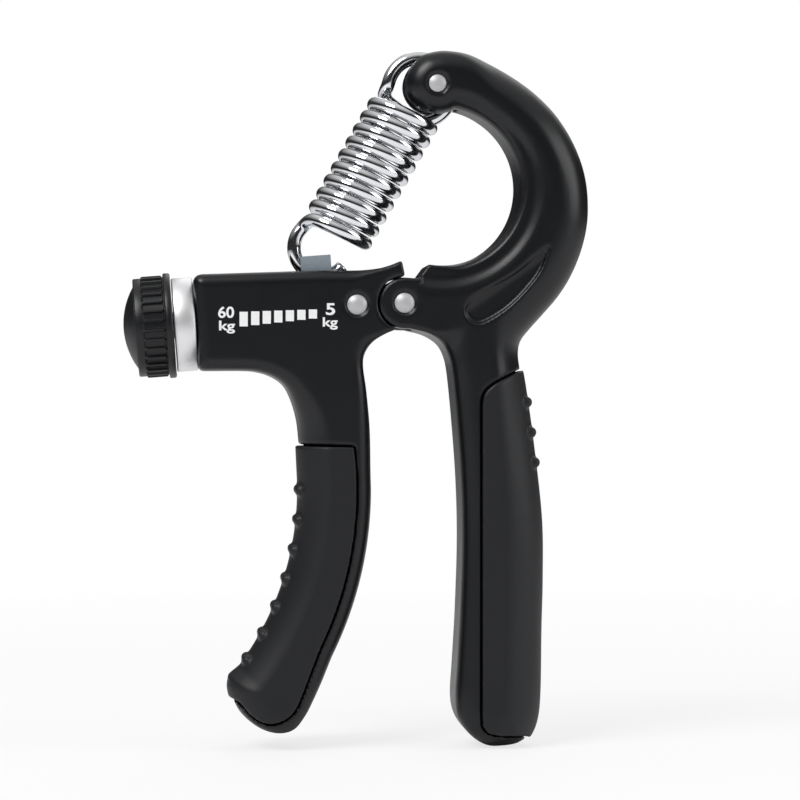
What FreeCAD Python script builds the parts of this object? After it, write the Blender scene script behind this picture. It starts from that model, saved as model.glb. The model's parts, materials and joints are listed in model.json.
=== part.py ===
"""Hand grip strengthener: a fixed palm frame, a hinged finger lever and a tension spring set by a screw.

Millimetres, +Z up, X across the two handles and Y through their thickness.
The origin is the middle of the palm handle, where the palm holds it.
"""
import FreeCAD, Part
import math
import os

# Driving sizes of the palm frame
frame_half_depth = 10.8
pivot_x, pivot_z = -22.7, 58.8
ear_radius = 5.8
ring_x, ring_z = -14.3, 85.6
ring_radius = 18.2
arm_top_width = 12.4
arm_mid_width = 15.8
arm_root_width = 19.6
tip_x, tip_z = -16.0, 108.5
tip_radius = 6.0
tip_half_depth = 8.4
tip_pin_x, tip_pin_z = -15.0, 108.9
waist_x, waist_z, waist_width = -3.9, 48.0, 16.4
palm_width = 20.4
palm_inner_hollow = 1.0
palm_top_z, palm_bottom_z = 38.0, -42.7
lip_height = 2.8
pocket_depth = 1.0

# Driving sizes of the finger lever
lever_half_depth = 10.8
finger_width = 16.6
finger_bend_radius = 84.3
finger_inner_x = -30.2
finger_bend_z = 16.2
finger_bend_angle = 41.5
housing_height = 21.8
housing_tilt = 4.3
axis_drop = 1.0
housing_reach = 47.4
housing_edge_round = 3.0
tongue_half = 4.0

# Driving sizes of the rubber covers
cover_thickness = 2.0
cover_proud = 0.8
cover_rim = 5.2
finger_rim = 3.6
bump_radius = 1.5
bump_pitch = 6.9
bump_count = 7

# Driving sizes of the pins and the pivot
pin_radius = 2.25
pin_dome = 0.8
pin_recess_radius = 2.65
bush_wall = 1.0
washer_thickness = 0.5
washer_radius = 5.2

# Driving sizes of the adjuster
channel_size = 13.0
plug_length = 6.0
inner_block_length = 7.4
screw_radius = 3.0
journal_radius = 2.0
journal_length = 1.8
carriage_length = 6.9
carriage_rest = 19.0
carriage_travel = 17.25
nut_radius = 4.6
lug_bar_height = 3.2
lug_wall = 2.0
sleeve_radius, sleeve_length = 10.7, 4.9
thrust_washer_thickness, thrust_washer_radius = 0.5, 5.5
flange_radius, flange_length = 12.0, 2.8
knob_radius, knob_length = 11.2, 8.1
knob_rib_count, knob_rib_height = 30, 0.45
cap_radius, cap_height = 9.4, 2.8
knob_wall = 3.4
fixing_radius, fixing_head_radius, fixing_head_height = 1.5, 3.0, 1.8
clip_radius, clip_thickness = 4.8, 0.7

# Driving sizes of the spring
wire_radius = 1.6
wire_sides = 6
coil_radius = 7.35
coil_count = 8.0
coil_bottom_x, coil_bottom_z = -35.0, 78.75
coil_top_x, coil_top_z = -21.55, 102.36
top_loop_x, top_loop_z, top_loop_radius = -18.4, 108.1, 7.4
hook_x, hook_z, hook_radius = -41.0, 71.7, 7.0
loop_sweep, hook_sweep = 300, 236

# Clearances
turning_gap = 0.3
running_gap = 0.05
side_gap = 0.1
wire_gap = 0.5
slide_gap = 0.2

Vector = FreeCAD.Vector
ALONG_Y = Vector(0, 1, 0)
OVER = 80.0


def polar(centre, radius, degrees):
    """The point at a radius and an angle about a centre, in the XZ plane."""
    turn = math.radians(degrees)
    return centre[0] + radius * math.cos(turn), centre[1] + radius * math.sin(turn)


def disc(centre, radius, y_low, y_high):
    """A round bar along Y."""
    return Part.makeCylinder(radius, y_high - y_low, Vector(centre[0], y_low, centre[1]), ALONG_Y)


def block(x_low, x_high, y_half, z_low, z_high):
    """A box that lies even about the middle plane."""
    corner = Vector(x_low, -y_half, z_low)
    return Part.makeBox(x_high - x_low, 2 * y_half, z_high - z_low, corner)


def plate(edges, half_depth, y_middle=0.0):
    """A closed outline in the XZ plane, given a thickness even about y_middle."""
    face = Part.Face(Part.Wire(edges))
    face.translate(Vector(0, y_middle - half_depth, 0))
    return face.extrude(Vector(0, 2 * half_depth, 0))


def at(point):
    """A point of the XZ plane as a vector."""
    return Vector(point[0], 0, point[1])


def line(start, end):
    """A straight edge in the XZ plane."""
    return Part.LineSegment(at(start), at(end)).toShape()


def arc(start, middle, end):
    """A round edge through three points of the XZ plane."""
    return Part.Arc(at(start), at(middle), at(end)).toShape()


def curve(points):
    """A smooth edge through points of the XZ plane."""
    spline = Part.BSplineCurve()
    spline.interpolate(Points=[at(point) for point in points])
    return spline.toShape()


def section(inner, outer, half_depth, inner_square, outer_square):
    """A closed rounded section between two points: higher squareness is nearer to a rectangle."""
    middle = ((inner[0] + outer[0]) / 2, (inner[1] + outer[1]) / 2)
    half = ((outer[0] - inner[0]) / 2, (outer[1] - inner[1]) / 2)
    points = []
    corners = 12
    for step in range(corners):
        turn = 2 * math.pi * (step + 0.5) / corners
        across, deep = math.cos(turn), math.sin(turn)
        square = outer_square if across > 0 else inner_square
        reach = math.copysign(abs(across) ** (2 / square), across)
        depth = half_depth * math.copysign(abs(deep) ** (2 / square), deep)
        points.append(Vector(middle[0] + reach * half[0], depth, middle[1] + reach * half[1]))
    spline = Part.BSplineCurve()
    spline.interpolate(Points=points, PeriodicFlag=True)
    return Part.Wire(spline.toShape())


def domed_pin(centre, half_length):
    """A headless pin along Y whose two ends are peened to low domes."""
    pin = disc(centre, pin_radius, -half_length, half_length)
    sphere_radius = (pin_radius ** 2 + pin_dome ** 2) / (2 * pin_dome)
    for side in (-1, 1):
        middle = Vector(centre[0], side * (half_length + pin_dome - sphere_radius), centre[1])
        ball = Part.makeSphere(sphere_radius, middle)
        low, high = sorted((side * half_length, side * (half_length + pin_dome)))
        pin = pin.fuse(ball.common(disc(centre, pin_radius, low, high)))
    return pin.removeSplitter()


def cut_each(body, tools):
    """The body with each tool cut away in turn."""
    for tool in tools:
        body = body.cut(tool)
    return body


def join_each(body, others):
    """The body with each other solid joined to it in turn."""
    for other in others:
        body = body.fuse(other)
    return body


def to_axis(shape):
    """Turns a piece modelled along X onto the adjuster's tilted axis, whose zero is under the pivot."""
    shape.rotate(Vector(0, 0, 0), ALONG_Y, -housing_tilt)
    shape.translate(Vector(pivot_x, 0, pivot_z - axis_drop))
    return shape


def axis_point(along, above):
    """The XZ place of a point given along and above the adjuster's axis."""
    turn = math.radians(housing_tilt)
    x = pivot_x + along * math.cos(turn) - above * math.sin(turn)
    z = pivot_z - axis_drop + along * math.sin(turn) + above * math.cos(turn)
    return x, z


def rod(radius, x_low, x_high):
    """A round bar along X, before it is turned onto the adjuster's axis."""
    return Part.makeCylinder(radius, x_high - x_low, Vector(x_low, 0, 0), Vector(1, 0, 0))


pivot = (pivot_x, pivot_z)
ring = (ring_x, ring_z)
tip = (tip_x, tip_z)
tip_pin_place = (tip_pin_x, tip_pin_z)
rivet_place = axis_point(-10.7, 1.4)
cheek_pin_half = frame_half_depth - pin_dome / 2
clevis_half = tongue_half + side_gap + washer_thickness
bush_radius = pin_radius + running_gap + bush_wall
ear_clearance_radius = ear_radius + turning_gap


# The palm frame: curved arm, pivot ears and the core of the palm handle
def palm_sides(z):
    """The inner and outer X of the palm handle's core at a height."""
    middle_z = (palm_top_z + palm_bottom_z) / 2
    share = (z - middle_z) / (palm_top_z - middle_z)
    inner = -palm_width / 2 - palm_inner_hollow * share ** 2
    outer = palm_width / 2 - cover_proud - 3.6 * share ** 2 * (1 if share > 0 else 0.4)
    return inner, outer


def palm_loft(grow, half_depth, low_z, high_z):
    """The palm handle's rounded body between two heights, its outer side grown by an amount."""
    sections = []
    steps = 7
    for step in range(steps + 1):
        z = high_z + (low_z - high_z) * step / steps
        inner, outer = palm_sides(z)
        sections.append(section((inner, z), (outer + grow, z), half_depth, 5, 2.9))
    return Part.makeLoft(sections, True, False, False, 3)


def arm_width(degrees):
    """The arm's width at an angle about the ring: even over the top, widening to the root."""
    if degrees >= 50:
        return arm_top_width
    if degrees >= 0:
        return arm_mid_width + (arm_top_width - arm_mid_width) * math.sin(math.radians(degrees * 1.8))
    return arm_mid_width + (arm_root_width - arm_mid_width) * math.sin(math.radians(-degrees * 1.6))


def arm_depth(degrees):
    """Half the arm's thickness at an angle about the ring, thinner towards the tip."""
    share = (90 - degrees) / 140
    return tip_half_depth + (frame_half_depth - tip_half_depth) * math.sin(math.radians(90 * share))


def make_frame_body():
    """The curved arm from the tip round the ring to its root, the narrow waist and the palm handle."""
    sections = []
    for degrees in range(90, -60, -14):
        near = polar(ring, ring_radius - 0.4, degrees)
        far = polar(ring, ring_radius + arm_width(degrees), degrees)
        sections.append(section(near, far, arm_depth(degrees), 5, 2.9))
    inner_top, outer_top = palm_sides(palm_top_z)
    waist_left = waist_x - waist_width / 2
    waist_right = waist_x + waist_width / 2
    waist = (
        ((waist_left + 3.0, waist_z + 14.0), (waist_right + 2.0, waist_z + 4.8)),
        ((waist_left - 0.5, waist_z + 4.0), (waist_right - 0.1, waist_z + 0.2)),
        ((inner_top - 0.6, palm_top_z + 6.0), (outer_top - 0.9, palm_top_z + 5.0)),
    )
    for near, far in waist:
        sections.append(section(near, far, frame_half_depth, 5, 2.9))
    steps = 11
    for step in range(steps + 1):
        z = palm_top_z + (palm_bottom_z - palm_top_z) * step / steps
        inner, outer = palm_sides(z)
        sections.append(section((inner, z), (outer, z), frame_half_depth, 5, 2.9))
    body = Part.makeLoft(sections, True, False, False, 5)
    return body.cut(make_palm_foot())


def make_palm_foot():
    """What the rounded foot of the palm handle leaves out, as seen from the front."""
    left, right = palm_sides(palm_bottom_z)
    low = palm_bottom_z - 5
    outer_turn, outer_foot = (right + 1, palm_bottom_z + 8), (right - 4.5, palm_bottom_z)
    inner_turn, inner_foot = (left - 1, palm_bottom_z + 12), (left + 10.5, palm_bottom_z)
    edges = [
        arc(outer_turn, (right - 0.6, palm_bottom_z + 2.7), outer_foot),
        line(outer_foot, inner_foot),
        arc(inner_foot, (left + 2.4, palm_bottom_z + 3.4), inner_turn),
        line(inner_turn, (left - 9, palm_bottom_z + 12)),
        line((left - 9, palm_bottom_z + 12), (left - 9, low)),
        line((left - 9, low), (right + 9, low)),
        line((right + 9, low), (right + 9, palm_bottom_z + 8)),
        line((right + 9, palm_bottom_z + 8), outer_turn),
    ]
    return plate(edges, OVER)


def make_pivot_plate():
    """The flat cheek between the ears, the lip over them and the handle."""
    ear_top = (pivot_x, pivot_z + ear_radius)
    ear_left = (pivot_x - ear_radius, pivot_z)
    ear_foot = (pivot_x, pivot_z - ear_radius)
    lip_foot = (pivot_x + 3.1, pivot_z + ear_radius)
    lip_top = polar(ring, ring_radius, -100)
    ring_side = polar(ring, ring_radius, -55)
    ring_far = polar(ring, ring_radius - 0.1, -78)
    throat = (palm_sides(palm_top_z)[0], palm_top_z + 2)
    inside = (throat[0] + 8, throat[1])
    root = polar(ring, ring_radius + arm_root_width * 0.6, -52)
    edges = [
        line(lip_foot, lip_top),
        arc(lip_top, ring_far, ring_side),
        line(ring_side, root),
        line(root, inside),
        line(inside, throat),
        curve([throat, (pivot_x + 9.2, pivot_z - 9.4), (pivot_x + 4.6, pivot_z - 6.6), ear_foot]),
        arc(ear_foot, ear_left, ear_top),
        line(ear_top, lip_foot),
    ]
    return plate(edges, frame_half_depth)


def make_crescent(inner_share, outer_share):
    """The outline of the long curved dish in the arm's root, on one cheek."""
    lower = polar(ring, ring_radius + arm_root_width * 0.62, -79)
    upper = polar(ring, ring_radius + arm_root_width * 0.62, -27)
    out_mid = polar(ring, ring_radius + arm_root_width * outer_share, -54)
    in_mid = polar(ring, ring_radius + arm_root_width * inner_share, -52)
    return [arc(lower, out_mid, upper), arc(upper, in_mid, lower)]


def make_frame():
    """The whole frame with its bores, slots and dishes."""
    tip_end = disc(tip, tip_radius, -tip_half_depth, tip_half_depth)
    body = join_each(make_frame_body(), [make_pivot_plate(), tip_end])
    body = body.cut(disc(ring, ring_radius, -OVER, OVER))
    tongue_room = disc(pivot, ear_clearance_radius + 0.2, -clevis_half, clevis_half)
    loop_room = disc((top_loop_x, top_loop_z), top_loop_radius + wire_radius + wire_gap,
                     -wire_radius - wire_gap, wire_radius + wire_gap)
    cuts = [tongue_room, loop_room]
    cuts.append(disc(pivot, pin_radius, -OVER, OVER))
    cuts.append(disc(tip_pin_place, pin_radius, -OVER, OVER))
    for side in (-1, 1):
        middle = side * frame_half_depth
        cuts.append(plate(make_crescent(0.36, 0.86), pocket_depth, middle))
        cuts.append(disc(pivot, pin_recess_radius, *sorted((middle - side * pin_dome, middle + side))))
        tip_face = side * tip_half_depth
        cuts.append(disc(tip_pin_place, pin_recess_radius,
                         *sorted((tip_face - side * pin_dome, tip_face + side))))
    return cut_each(body, cuts)


def make_palm_cover():
    """The rubber palm cover: it wraps the outer side and sits in a step of the core."""
    skin = palm_loft(cover_proud, frame_half_depth + cover_proud, palm_bottom_z + 2.5, palm_top_z + 8)
    seat = palm_loft(cover_proud - cover_thickness, frame_half_depth + cover_proud - cover_thickness,
                     palm_bottom_z - 8, palm_top_z + 14)
    edge_x = palm_sides(palm_top_z)[0] + cover_rim
    far_x = palm_width
    top_low, top_high = (edge_x, palm_top_z - 0.5), (far_x, palm_top_z + 12)
    top_mid = (palm_width / 2 - 6.0, palm_top_z + 5.0)
    foot_low, foot_high = (edge_x, palm_bottom_z + 5.5), (far_x, palm_bottom_z + 2.6)
    foot_turn = (edge_x + 3.5, palm_bottom_z + 3.0)
    outline = [
        line(top_high, foot_high),
        line(foot_high, foot_turn),
        line(foot_turn, foot_low),
        line(foot_low, top_low),
        line(top_low, (edge_x + 2.0, palm_top_z + 2.2)),
        line((edge_x + 2.0, palm_top_z + 2.2), top_mid),
        line(top_mid, top_high),
    ]
    return skin.common(plate(outline, OVER)).cut(seat)


# The finger lever: adjuster housing, pivot tongue and the core of the finger handle
bend_centre = (finger_inner_x - finger_bend_radius, finger_bend_z)


def finger_station(degrees, grow, half_depth):
    """A section of the bent finger handle at an angle below its bend line."""
    near = polar(bend_centre, finger_bend_radius, -degrees)
    far = polar(bend_centre, finger_bend_radius - finger_width - grow, -degrees)
    return section(near, far, half_depth, 5, 3.2)


def finger_loft(grow, half_depth, low_degrees, high_degrees):
    """The bent finger handle between two angles, its outer side grown by an amount."""
    sections = []
    steps = 6
    for step in range(steps + 1):
        degrees = high_degrees + (low_degrees - high_degrees) * step / steps
        sections.append(finger_station(degrees, grow, half_depth))
    return Part.makeLoft(sections, True, False, False, 3)


def make_lever_body():
    """The handle core: a straight neck and a bent grip, with its foot rounded as seen from the front."""
    neck_sections = []
    steps = 4
    for step in range(steps + 1):
        z = pivot_z - 14 + (finger_bend_z - pivot_z + 14) * step / steps
        bow = 1.9 * max(0.0, (z - pivot_z + 30) / 16) ** 2
        near, far = (finger_inner_x - bow, z), (finger_inner_x - finger_width, z)
        neck_sections.append(section(near, far, lever_half_depth, 5, 3.2))
    neck = Part.makeLoft(neck_sections, True, False, False, 3)
    bent = finger_loft(0.0, lever_half_depth, finger_bend_angle, 0.0)
    inner, outer = finger_bend_radius + 1, finger_bend_radius - finger_width - 1
    turn = 5.0
    round_angle = math.degrees(6.5 / finger_bend_radius)
    half_angle = finger_bend_angle / 2
    near_turn = polar(bend_centre, inner, -finger_bend_angle + round_angle)
    near_foot = polar(bend_centre, inner - 1 - turn, -finger_bend_angle)
    near_mid = polar(bend_centre, inner - 2.3, -finger_bend_angle + round_angle * 0.3)
    far_foot = polar(bend_centre, outer + 1 + turn, -finger_bend_angle)
    far_mid = polar(bend_centre, outer + 2.3, -finger_bend_angle + round_angle * 0.3)
    far_turn = polar(bend_centre, outer, -finger_bend_angle + round_angle)
    outline = [
        arc(polar(bend_centre, inner, 2), polar(bend_centre, inner, -half_angle), near_turn),
        arc(near_turn, near_mid, near_foot),
        line(near_foot, far_foot),
        arc(far_foot, far_mid, far_turn),
        arc(far_turn, polar(bend_centre, outer, -half_angle), polar(bend_centre, outer, 2)),
        line(polar(bend_centre, outer, 2), polar(bend_centre, inner, 2)),
    ]
    return neck.fuse(bent.common(plate(outline, OVER)))


def make_lever_plate():
    """The flat cheek between the housing, the pivot and the handle, with the lip over the ears."""
    top = housing_height / 2
    lip_end = (pivot_x - 0.8, pivot_z + ear_radius + lip_height + 1.1)
    lip_low = (pivot_x + 0.1, pivot_z + 4)
    ear_foot = (pivot_x - 2.0, pivot_z - 6.0)
    arch_top = (finger_inner_x + 1.7, pivot_z - 8.1)
    arch_side = (finger_inner_x - 1.7, pivot_z - 13.6)
    near_low = (finger_inner_x - 1.9, pivot_z - 15.2)
    tongue_foot = (finger_inner_x - finger_width / 2, pivot_z - 30.0)
    far_side = (finger_inner_x - finger_width - 0.4, pivot_z - 22.0)
    far_arch = (finger_inner_x - finger_width - 2.4, pivot_z - 18.4)
    far_top = (finger_inner_x - finger_width - 7.6, axis_point(-34, -top + 0.2)[1])
    edges = [
        curve([lip_end, (pivot_x - 5.6, pivot_z + ear_radius + 2.5), axis_point(-14, top - 0.2)]),
        line(axis_point(-14, top - 0.2), axis_point(-15, -top / 2)),
        line(axis_point(-15, -top / 2), axis_point(-34, -top / 2)),
        line(axis_point(-34, -top / 2), far_top),
        curve([far_top, far_arch, far_side]),
        line(far_side, tongue_foot),
        line(tongue_foot, near_low),
        curve([near_low, arch_side, arch_top, ear_foot]),
        line(ear_foot, lip_low),
        line(lip_low, lip_end),
    ]
    return plate(edges, lever_half_depth)


def make_housing():
    """The adjuster's box-shaped housing with rounded long edges."""
    half = housing_height / 2
    body = block(-housing_reach, -12.0, lever_half_depth, -half, half)
    long_edges = [edge for edge in body.Edges if abs(edge.Length - (housing_reach - 12.0)) < 0.01]
    return to_axis(body.makeFillet(housing_edge_round, long_edges))


slot_left = -carriage_rest - carriage_travel - carriage_length / 2 - 3.2
slot_right = -carriage_rest + carriage_length / 2 + 5.4
slot_half = wire_radius + wire_gap + lug_wall + slide_gap


def make_lever():
    """The whole lever with its channel, top slot, tongue and bores."""
    body = join_each(make_housing(), [make_lever_plate(), make_lever_body()])
    body = body.cut(disc(pivot, ear_clearance_radius, -OVER, OVER))
    tongue = disc(pivot, ear_radius - turning_gap, -tongue_half, tongue_half)
    neck = block(pivot_x - ear_radius - 4, pivot_x, tongue_half, pivot_z - 4.2, pivot_z + 4.2)
    body = join_each(body, [tongue, neck])
    half = channel_size / 2
    channel = to_axis(block(-housing_reach - 1, -10.7 + 3.6, half, -half, half))
    slot = to_axis(block(slot_left, slot_right, slot_half, 0, housing_height))
    cuts = [channel, slot, disc(pivot, bush_radius, -OVER, OVER)]
    cuts.append(disc(rivet_place, pin_radius, -OVER, OVER))
    for side in (-1, 1):
        face = side * lever_half_depth
        cuts.append(disc(rivet_place, pin_recess_radius, *sorted((face - side * pin_dome, face + side))))
    return cut_each(body, cuts)


def make_finger_cover():
    """The rubber finger cover with its row of anti-slip bumps."""
    end = finger_bend_angle * 0.93
    skin = finger_loft(cover_proud, lever_half_depth + cover_proud, end, 0.0)
    seat_depth = lever_half_depth + cover_proud - cover_thickness
    seat = finger_loft(cover_proud - cover_thickness, seat_depth, end + 4, -2.0)
    rim = finger_bend_radius - finger_rim
    near_top = polar(bend_centre, rim, 6)
    near_mid = polar(bend_centre, rim, -end / 2)
    near_low = polar(bend_centre, rim, -end)
    far_top = polar(bend_centre, rim - finger_width * 2, 6)
    far_low = polar(bend_centre, rim - finger_width * 2, -end - 2)
    outline = [
        arc(near_top, near_mid, near_low),
        line(near_low, far_low),
        line(far_low, far_top),
        line(far_top, near_top),
    ]
    cover = skin.common(plate(outline, OVER)).cut(seat)
    outer = finger_bend_radius - finger_width - cover_proud
    bumps = []
    for index in range(bump_count):
        degrees = math.degrees((index + 0.9) * bump_pitch / outer) * 0.9
        if degrees < end - 3:
            centre = polar(bend_centre, outer + bump_radius * 0.35, -degrees)
            bumps.append(disc(centre, bump_radius, -5.5, 5.5))
    return join_each(cover, bumps)


# Pivot hardware
def make_pivot_washers():
    """Two thin washers between the tongue and the ears."""
    washers = []
    for side in (-1, 1):
        low, high = sorted((side * (tongue_half + side_gap), side * clevis_half))
        ring_shape = disc(pivot, washer_radius, low, high)
        washers.append(ring_shape.cut(disc(pivot, pin_radius, low - 1, high + 1)))
    return Part.makeCompound(washers)


def make_pivot_bush():
    """The bush pressed in the tongue, which turns on the pivot pin."""
    bush = disc(pivot, bush_radius, -tongue_half, tongue_half)
    return bush.cut(disc(pivot, pin_radius + running_gap, -OVER, OVER))


# The adjuster
plug_end = -housing_reach + plug_length
inner_block_left = -10.7 - 4.4
screw_end = inner_block_left + journal_length
sleeve_end = -housing_reach - sleeve_length
washer_end = sleeve_end - side_gap - thrust_washer_thickness
knob_right = washer_end
flange_left = knob_right - flange_length
knob_left = knob_right - knob_length
shaft_end = knob_right - knob_wall


def make_end_plug():
    """The bearing block that closes the housing's open end and carries the screw."""
    half = channel_size / 2
    body = block(-housing_reach, plug_end, half, -half, half)
    return to_axis(body.cut(rod(screw_radius + running_gap, -OVER, OVER)))


def make_inner_block():
    """The bearing block at the screw's inner end, held by the cross pin."""
    half = channel_size / 2
    body = block(inner_block_left, inner_block_left + inner_block_length, half, -half, half)
    body = body.cut(rod(journal_radius + running_gap, -OVER, screw_end + side_gap))
    return to_axis(body).cut(disc(rivet_place, pin_radius, -OVER, OVER))


def make_adjust_screw():
    """The screw, from the knob to its journal in the inner block."""
    body = rod(screw_radius, shaft_end, inner_block_left - side_gap)
    body = body.fuse(rod(journal_radius, inner_block_left - side_gap, screw_end))
    body = body.cut(rod(fixing_radius, -OVER, shaft_end + 6))
    return to_axis(body)


def make_retaining_clip():
    """The snap ring that keeps the screw from pulling out of its plug."""
    left = plug_end + side_gap
    body = rod(clip_radius, left, left + clip_thickness)
    body = body.cut(rod(screw_radius, -OVER, OVER))
    return to_axis(body)


def make_end_sleeve():
    """The bright sleeve between the housing and the knob."""
    body = rod(sleeve_radius, sleeve_end, -housing_reach)
    return to_axis(body.cut(rod(screw_radius + turning_gap, -OVER, OVER)))


def make_thrust_washer():
    """The washer that the knob bears on."""
    body = rod(thrust_washer_radius, washer_end, washer_end + thrust_washer_thickness)
    return to_axis(body.cut(rod(screw_radius, -OVER, OVER)))


def make_knob():
    """The ribbed knob with its flange and the seat of the cap."""
    body = rod(flange_radius, flange_left, knob_right).fuse(rod(knob_radius, knob_left, flange_left))
    ribs = []
    for index in range(knob_rib_count):
        rib = block(knob_left + 1.4, flange_left, 0.55, knob_radius - 0.4, knob_radius + knob_rib_height)
        rib.rotate(Vector(0, 0, 0), Vector(1, 0, 0), 360 * index / knob_rib_count)
        ribs.append(rib)
    body = body.fuse(ribs)
    body = cut_each(body, [
        rod(screw_radius, shaft_end, OVER),
        rod(fixing_radius, -OVER, OVER),
        rod(fixing_head_radius + turning_gap, -OVER, shaft_end - 1.4),
    ])
    return to_axis(body.removeSplitter())


def make_knob_cap():
    """The domed cap that hides the fixing screw."""
    sphere_radius = (cap_radius ** 2 + cap_height ** 2) / (2 * cap_height)
    apex = knob_left - cap_height
    half_way = math.asin(cap_radius / sphere_radius) / 2
    middle = (apex + sphere_radius * (1 - math.cos(half_way)), sphere_radius * math.sin(half_way))
    profile = [
        line((apex, 0), (knob_left, 0)),
        line((knob_left, 0), (knob_left, cap_radius)),
        arc((knob_left, cap_radius), middle, (apex, 0)),
    ]
    face = Part.Face(Part.Wire(profile))
    return to_axis(face.revolve(Vector(0, 0, 0), Vector(1, 0, 0), 360))


def make_knob_screw():
    """The screw that holds the knob on the shaft."""
    seat = shaft_end - 1.4
    body = rod(fixing_head_radius, seat - fixing_head_height, seat).fuse(rod(fixing_radius, seat, shaft_end + 5.5))
    return to_axis(body)


# The carriage that the screw draws along the channel
def make_carriage():
    """The sliding block and its bridge, whose saddle is rounded to the inside of the spring's hook."""
    half = channel_size / 2 - slide_gap
    right = -carriage_rest + carriage_length / 2
    left = right - carriage_length
    body = block(left, right, half, -half, half)
    window_half = wire_radius + wire_gap
    saddle_radius = hook_radius - wire_radius - turning_gap
    saddle = disc((hook_x, hook_z), saddle_radius, -window_half, window_half)
    saddle_low = hook_z - saddle_radius - axis_point(-carriage_rest, 0)[1]
    top = saddle_low + lug_bar_height
    bridge = block(left, right, window_half + lug_wall, 0, top)
    window = block(left - 1, right + 1, window_half, half - 1.5, top + 1)
    body = to_axis(body.fuse(bridge).cut(rod(nut_radius, -OVER, OVER)))
    return body.cut(to_axis(window).cut(saddle.common(to_axis(block(left, right, OVER, 0, top)))))


def make_lead_nut():
    """The threaded nut pressed in the carriage."""
    right = -carriage_rest + carriage_length / 2
    body = rod(nut_radius, right - carriage_length, right)
    return to_axis(body.cut(rod(screw_radius + running_gap, -OVER, OVER)))


# The tension spring
def make_spring():
    """One wire: a right-handed coil with a full loop at the top and an open hook at the foot."""
    foot = Vector(coil_bottom_x, 0, coil_bottom_z)
    head = Vector(coil_top_x, 0, coil_top_z)
    run = head - foot
    along = Vector(run).normalize()
    across = Vector(along.z, 0, -along.x)
    helix = Part.makeHelix(run.Length / coil_count, run.Length, coil_radius)
    corners = []
    for step in range(wire_sides + 1):
        out, up = polar((coil_radius, 0), wire_radius, 360 * (step + 0.5) / wire_sides)
        corners.append(Vector(out, 0, up))
    profile = Part.makePolygon(corners)
    coil = Part.Wire(helix.Edges).makePipeShell([profile], True, True)
    turn = FreeCAD.Rotation(across * -1, Vector(0, -1, 0), along, "ZXY")
    coil.Placement = FreeCAD.Placement(foot, turn)
    loop_middle = Vector(top_loop_x, 0, top_loop_z)
    hook_middle = Vector(hook_x, 0, hook_z)
    top_loop = bent_end(head - across * coil_radius, loop_middle, top_loop_radius, loop_sweep)
    hook = bent_end(foot - across * coil_radius, hook_middle, hook_radius, -hook_sweep)
    return join_each(coil, [top_loop, hook])


def bent_end(start, centre, radius, degrees):
    """The wire from the coil's end: a short straight, then a round bend about a centre."""
    out = Vector(start - centre).normalize()
    bend_start = centre + out * radius
    circle = Part.Face(Part.Wire(Part.makeCircle(wire_radius, bend_start, ALONG_Y.cross(out))))
    bend = circle.revolve(centre, ALONG_Y, degrees)
    reach = start - bend_start
    straight = Part.makeCylinder(wire_radius, reach.Length, bend_start, reach)
    knuckles = [Part.makeSphere(wire_radius * 1.02, place) for place in (start, bend_start)]
    return join_each(bend, [straight] + knuckles)


PIECES = {
    "frame": make_frame,
    "palm_grip": make_palm_cover,
    "pivot_pin": lambda: domed_pin(pivot, cheek_pin_half),
    "tip_pin": lambda: domed_pin(tip_pin_place, tip_half_depth - pin_dome / 2),
    "pivot_washers": make_pivot_washers,
    "lever": make_lever,
    "finger_grip": make_finger_cover,
    "pivot_bush": make_pivot_bush,
    "bearing_pin": lambda: domed_pin(rivet_place, cheek_pin_half),
    "end_plug": make_end_plug,
    "inner_block": make_inner_block,
    "end_sleeve": make_end_sleeve,
    "adjust_screw": make_adjust_screw,
    "retaining_clip": make_retaining_clip,
    "thrust_washer": make_thrust_washer,
    "knob": make_knob,
    "knob_cap": make_knob_cap,
    "knob_screw": make_knob_screw,
    "carriage": make_carriage,
    "lead_nut": make_lead_nut,
    "spring": make_spring,
}

os.makedirs("parts", exist_ok=True)
shapes = {name: make() for name, make in PIECES.items()}
shapes["frame"] = shapes["frame"].cut(shapes["palm_grip"])
shapes["lever"] = shapes["lever"].cut(shapes["finger_grip"])
for name, shape in shapes.items():
    shape.exportStep(f"parts/{name}.step")
    print(name, "solids", len(shape.Solids), "valid", shape.isValid(), "volume", round(shape.Volume, 1))
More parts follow.
